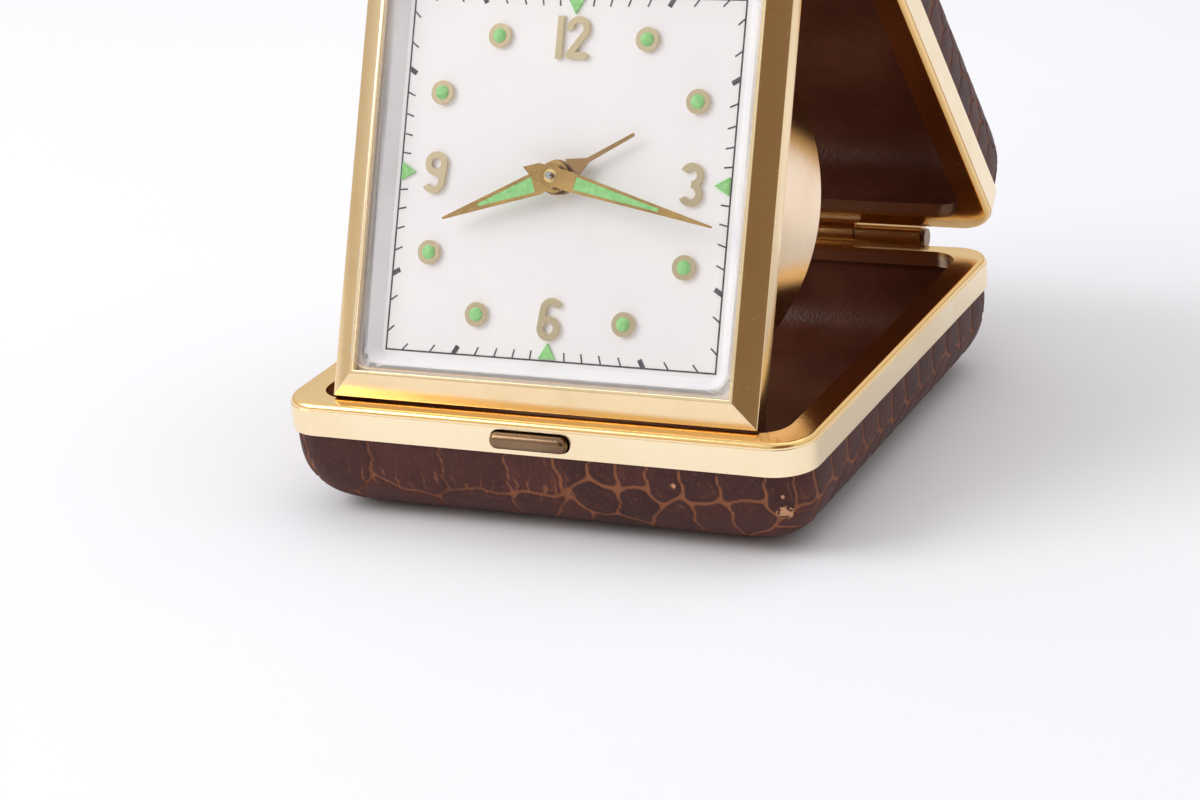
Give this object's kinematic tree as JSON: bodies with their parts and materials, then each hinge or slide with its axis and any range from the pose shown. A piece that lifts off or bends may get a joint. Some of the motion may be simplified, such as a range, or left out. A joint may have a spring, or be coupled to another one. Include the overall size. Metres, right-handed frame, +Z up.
{
  "type": "folding travel alarm clock",
  "caption": "Folding travel alarm clock standing open: square brass-framed dial leaning from a leather-covered lid hinged to its matching base.",
  "frame": {"origin": "on the table under the middle of the base", "axes": "+Z up, the clock's dial faces -Y and leans back, +X to the right seen from the front"},
  "size_m": [0.07, 0.0833, 0.0796],
  "materials": {
    "rim_brass": "polished, lightly lacquered",
    "steel_sheet": "plain sheet",
    "leather": "embossed in large scales, waxed",
    "lining": "smooth dark paper-backed cloth",
    "spring_steel": "blued steel",
    "clock_brass": "mirror polished",
    "button_brass": "worn, bronze brown",
    "crystal": "clear acrylic, cushion edge",
    "dial_white": "satin white enamel paint",
    "surround_white": "glossy white",
    "dial_black": "printed black",
    "figures_gilt": "champagne gilt",
    "lume_green": "matt green luminous paint",
    "movement_brass": "brushed",
    "movement_steel": "polished steel",
    "hand_gilt": "gilt, open worked",
    "knob_brass": "knurled, polished"
  },
  "bodies": {
    "base": {"base_rim": "rim_brass", "base_tray": "steel_sheet", "base_leather": "leather", "base_lining": "lining", "hinge_base_leaf": "rim_brass", "hinge_pin": "spring_steel", "latch_spring": "spring_steel"},
    "button": {"push_button": "button_brass"},
    "lid": {"lid_rim": "rim_brass", "lid_tray": "steel_sheet", "lid_leather": "leather", "lid_lining": "lining", "hinge_lid_leaf": "rim_brass", "lid_strike": "spring_steel", "clock_bracket": "rim_brass", "clock_hinge_pin": "spring_steel", "clock_hinge_spring": "spring_steel"},
    "clock": {"clock_knuckle": "rim_brass", "bezel": "clock_brass", "crystal": "crystal", "dial_surround": "surround_white", "dial": "dial_white", "dial_track": "dial_black", "hour_dots": "figures_gilt", "numerals": "figures_gilt", "dial_lume": "lume_green", "drum_case": "clock_brass", "back_cover": "clock_brass", "front_plate": "movement_brass", "back_plate": "movement_brass", "plate_pillars": "movement_brass", "plate_screws": "movement_steel", "alarm_barrel": "movement_brass", "escapement_platform": "movement_brass", "balance_cock": "movement_brass", "hairspring": "spring_steel", "bell_ring": "spring_steel", "hammer_stud": "movement_steel"},
    "minute_work": {"centre_arbor": "movement_steel", "centre_wheel": "movement_brass", "cannon_pinion": "movement_steel", "minute_hand": "hand_gilt", "minute_lume": "lume_green", "time_set_knob": "knob_brass"},
    "minute_wheel": {"minute_wheel": "movement_brass"},
    "hour_work": {"hour_wheel": "movement_brass", "hour_hand": "hand_gilt", "hour_lume": "lume_green"},
    "alarm_work": {"alarm_wheel": "movement_brass", "alarm_hand": "hand_gilt"},
    "alarm_setting": {"alarm_setter": "movement_steel", "alarm_set_knob": "knob_brass"},
    "time_winder": {"time_key": "knob_brass"},
    "alarm_winder": {"alarm_key": "knob_brass"},
    "time_barrel": {"time_barrel": "movement_brass"},
    "third_wheel": {"third_wheel": "movement_brass"},
    "balance": {"balance_wheel": "movement_brass"},
    "hammer": {"alarm_hammer": "movement_steel"},
    "regulator": {"regulator": "movement_steel"},
    "alarm_stop": {"alarm_stop": "knob_brass"}
  },
  "joints": [
    {"name": "lid_hinge", "type": "hinge", "parent": "base", "child": "lid", "pos_m": [0, 0.0385, 0.0154], "axis": [-1, 0, 0], "range_deg": [0, 60]},
    {"name": "clock_hinge", "type": "hinge", "parent": "lid", "child": "clock", "pos_m": [0, -0.00284, 0.06517], "axis": [1, 0, 0], "range_deg": [0, 61], "stiffness_Nm_per_rad": 0.03, "springref_deg": -57.3},
    {"name": "button_push", "type": "slide", "parent": "base", "child": "button", "axis": [0, 1, 0], "range_m": [0, 0.0009], "stiffness_N_per_m": 400},
    {"name": "minute_turn", "type": "hinge", "parent": "clock", "child": "minute_work", "pos_m": [0, -0.0214, 0.04106], "axis": [0, 0.9183, -0.396], "continuous": true},
    {"name": "minute_wheel_turn", "type": "hinge", "parent": "clock", "child": "minute_wheel", "pos_m": [0.00363, -0.02389, 0.03529], "axis": [0, 0.9183, -0.396], "continuous": true},
    {"name": "hour_turn", "type": "hinge", "parent": "clock", "child": "hour_work", "pos_m": [0, -0.0214, 0.04106], "axis": [0, 0.9183, -0.396], "continuous": true},
    {"name": "alarm_hand_turn", "type": "hinge", "parent": "clock", "child": "alarm_work", "pos_m": [0, -0.0214, 0.04106], "axis": [0, 0.9183, -0.396], "continuous": true},
    {"name": "alarm_set_turn", "type": "hinge", "parent": "clock", "child": "alarm_setting", "pos_m": [-0.0094, -0.01926, 0.04604], "axis": [0, 0.9183, -0.396], "continuous": true},
    {"name": "time_winding", "type": "hinge", "parent": "clock", "child": "time_winder", "pos_m": [-0.00605, -0.02483, 0.03312], "axis": [0, 0.9183, -0.396], "continuous": true},
    {"name": "alarm_winding", "type": "hinge", "parent": "clock", "child": "alarm_winder", "pos_m": [0.0115, -0.02517, 0.03233], "axis": [0, 0.9183, -0.396], "continuous": true},
    {"name": "time_barrel_turn", "type": "hinge", "parent": "clock", "child": "time_barrel", "pos_m": [-0.00605, -0.02483, 0.03312], "axis": [0, 0.9183, -0.396], "continuous": true},
    {"name": "third_wheel_turn", "type": "hinge", "parent": "clock", "child": "third_wheel", "pos_m": [0.0031, -0.01804, 0.04886], "axis": [0, 0.9183, -0.396], "continuous": true},
    {"name": "balance_swing", "type": "hinge", "parent": "clock", "child": "balance", "pos_m": [0.0105, -0.01942, 0.04565], "axis": [0, 0.9183, -0.396], "range_deg": [-135, 135], "stiffness_Nm_per_rad": 0.000002},
    {"name": "hammer_swing", "type": "hinge", "parent": "clock", "child": "hammer", "pos_m": [-0.0165, -0.01883, 0.04702], "axis": [0, -0.9183, 0.396], "range_deg": [0, 8], "stiffness_Nm_per_rad": 0.002},
    {"name": "regulator_turn", "type": "hinge", "parent": "clock", "child": "regulator", "pos_m": [0.007, -0.01705, 0.05116], "axis": [0, -0.9183, 0.396], "range_deg": [-20, 20]},
    {"name": "alarm_stop_slide", "type": "slide", "parent": "clock", "child": "alarm_stop", "axis": [1, 0, 0], "range_m": [0, 0.004]}
  ],
  "couplings": [
    {"joint": "minute_wheel_turn", "follows": "minute_turn", "ratio": -0.33333},
    {"joint": "hour_turn", "follows": "minute_turn", "ratio": 0.083333},
    {"joint": "time_barrel_turn", "follows": "minute_turn", "ratio": -0.16667},
    {"joint": "third_wheel_turn", "follows": "minute_turn", "ratio": -8},
    {"joint": "alarm_set_turn", "follows": "alarm_hand_turn", "ratio": -5}
  ]
}
